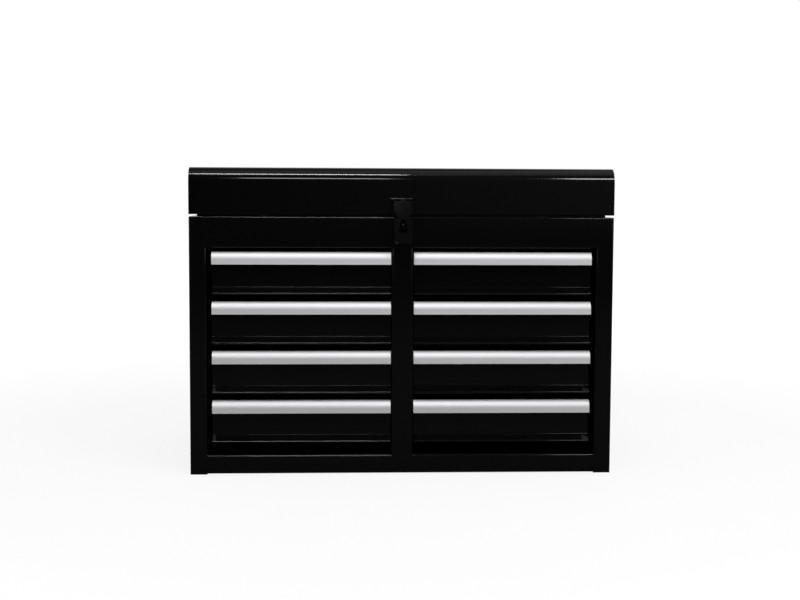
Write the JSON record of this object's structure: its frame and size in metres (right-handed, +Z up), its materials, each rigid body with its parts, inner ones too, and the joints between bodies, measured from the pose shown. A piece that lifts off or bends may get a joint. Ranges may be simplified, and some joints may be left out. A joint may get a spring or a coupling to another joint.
{
  "type": "tool chest",
  "caption": "Steel tool chest with a hinged lid, hasp and staple, folding lid stays, side bail handles and two columns of drawers with full-width pulls.",
  "frame": {"origin": "on the floor under the middle of the whole chest, hinge and hasp included", "axes": "+X to the right in a front view, along the width; +Y to the back; +Z up"},
  "size_m": [0.6364, 0.3606, 0.4465],
  "materials": {
    "black_paint": "semi-gloss black paint",
    "satin_aluminium": "satin anodised",
    "zinc_plate": "zinc plated",
    "bright_bar": "bright plated",
    "black_rubber": "moulded"
  },
  "bodies": {
    "cabinet": {"left_side": "black_paint", "right_side": "black_paint", "back_panel": "black_paint", "bottom_pan": "black_paint", "compartment_floor": "black_paint", "front_header": "black_paint", "bottom_rail": "black_paint", "centre_post": "black_paint", "left_outer_runners": "black_paint", "left_inner_runners": "black_paint", "right_inner_runners": "black_paint", "right_outer_runners": "black_paint", "hasp_staple": "black_paint", "body_hinge_leaves": "zinc_plate", "hinge_pins": "zinc_plate", "lid_bumpers": "black_rubber", "body_stay_studs": "zinc_plate", "left_handle_plate": "black_paint", "right_handle_plate": "black_paint"},
    "lid": {"lid_shell": "black_paint", "left_lid_end": "black_paint", "right_lid_end": "black_paint", "lid_hinge_leaves": "zinc_plate", "hasp_leaf": "black_paint", "hasp_pin": "black_paint", "lid_stay_studs": "zinc_plate"},
    "hasp": {"hasp_strap": "black_paint"},
    "left_stay_lower": {"left_stay_lower": "zinc_plate"},
    "left_stay_upper": {"left_stay_upper": "zinc_plate"},
    "left_bail": {"left_bail": "bright_bar"},
    "left_drawer_1": {"left_drawer_1_tray": "black_paint", "left_drawer_1_front": "black_paint", "left_drawer_1_pull": "satin_aluminium"},
    "left_drawer_2": {"left_drawer_2_tray": "black_paint", "left_drawer_2_front": "black_paint", "left_drawer_2_pull": "satin_aluminium"},
    "left_drawer_3": {"left_drawer_3_tray": "black_paint", "left_drawer_3_front": "black_paint", "left_drawer_3_pull": "satin_aluminium"},
    "left_drawer_4": {"left_drawer_4_tray": "black_paint", "left_drawer_4_front": "black_paint", "left_drawer_4_pull": "satin_aluminium"},
    "right_stay_lower": {"right_stay_lower": "zinc_plate"},
    "right_stay_upper": {"right_stay_upper": "zinc_plate"},
    "right_bail": {"right_bail": "bright_bar"},
    "right_drawer_1": {"right_drawer_1_tray": "black_paint", "right_drawer_1_front": "black_paint", "right_drawer_1_pull": "satin_aluminium"},
    "right_drawer_2": {"right_drawer_2_tray": "black_paint", "right_drawer_2_front": "black_paint", "right_drawer_2_pull": "satin_aluminium"},
    "right_drawer_3": {"right_drawer_3_tray": "black_paint", "right_drawer_3_front": "black_paint", "right_drawer_3_pull": "satin_aluminium"},
    "right_drawer_4": {"right_drawer_4_tray": "black_paint", "right_drawer_4_front": "black_paint", "right_drawer_4_pull": "satin_aluminium"}
  },
  "joints": [
    {"name": "lid_hinge", "type": "hinge", "parent": "cabinet", "child": "lid", "pos_m": [0, 0.17775, 0.3775], "axis": [-1, 0, 0], "range_deg": [0, 95]},
    {"name": "hasp_hinge", "type": "hinge", "parent": "lid", "child": "hasp", "pos_m": [0, -0.1576, 0.401], "axis": [-1, 0, 0], "range_deg": [-16, 150]},
    {"name": "left_drawer_1_slide", "type": "slide", "parent": "cabinet", "child": "left_drawer_1", "axis": [0, -1, 0], "range_m": [0, 0.21]},
    {"name": "left_drawer_2_slide", "type": "slide", "parent": "cabinet", "child": "left_drawer_2", "axis": [0, -1, 0], "range_m": [0, 0.21]},
    {"name": "left_drawer_3_slide", "type": "slide", "parent": "cabinet", "child": "left_drawer_3", "axis": [0, -1, 0], "range_m": [0, 0.21]},
    {"name": "left_drawer_4_slide", "type": "slide", "parent": "cabinet", "child": "left_drawer_4", "axis": [0, -1, 0], "range_m": [0, 0.21]},
    {"name": "left_stay_body_pivot", "type": "hinge", "parent": "cabinet", "child": "left_stay_lower", "pos_m": [-0.291, 0.10581, 0.3425], "axis": [-1, 0, 0], "range_deg": [0, 95]},
    {"name": "left_stay_elbow", "type": "hinge", "parent": "left_stay_lower", "child": "left_stay_upper", "pos_m": [-0.2887, 0.04501, 0.3945], "axis": [-1, 0, 0], "range_deg": [-95, 0]},
    {"name": "left_bail_swing", "type": "hinge", "parent": "cabinet", "child": "left_bail", "pos_m": [-0.3131, 0.01015, 0.232], "axis": [0, 1, 0], "range_deg": [0, 90]},
    {"name": "right_drawer_1_slide", "type": "slide", "parent": "cabinet", "child": "right_drawer_1", "axis": [0, -1, 0], "range_m": [0, 0.21]},
    {"name": "right_drawer_2_slide", "type": "slide", "parent": "cabinet", "child": "right_drawer_2", "axis": [0, -1, 0], "range_m": [0, 0.21]},
    {"name": "right_drawer_3_slide", "type": "slide", "parent": "cabinet", "child": "right_drawer_3", "axis": [0, -1, 0], "range_m": [0, 0.21]},
    {"name": "right_drawer_4_slide", "type": "slide", "parent": "cabinet", "child": "right_drawer_4", "axis": [0, -1, 0], "range_m": [0, 0.21]},
    {"name": "right_stay_body_pivot", "type": "hinge", "parent": "cabinet", "child": "right_stay_lower", "pos_m": [0.291, 0.10581, 0.3425], "axis": [-1, 0, 0], "range_deg": [0, 95]},
    {"name": "right_stay_elbow", "type": "hinge", "parent": "right_stay_lower", "child": "right_stay_upper", "pos_m": [0.2887, 0.04501, 0.3945], "axis": [-1, 0, 0], "range_deg": [-95, 0]},
    {"name": "right_bail_swing", "type": "hinge", "parent": "cabinet", "child": "right_bail", "pos_m": [0.3131, 0.01015, 0.232], "axis": [0, -1, 0], "range_deg": [0, 90]}
  ],
  "couplings": [
    {"joint": "left_stay_body_pivot", "follows": "lid_hinge", "ratio": 1},
    {"joint": "left_stay_elbow", "follows": "lid_hinge", "ratio": -1},
    {"joint": "right_stay_body_pivot", "follows": "lid_hinge", "ratio": 1},
    {"joint": "right_stay_elbow", "follows": "lid_hinge", "ratio": -1}
  ]
}
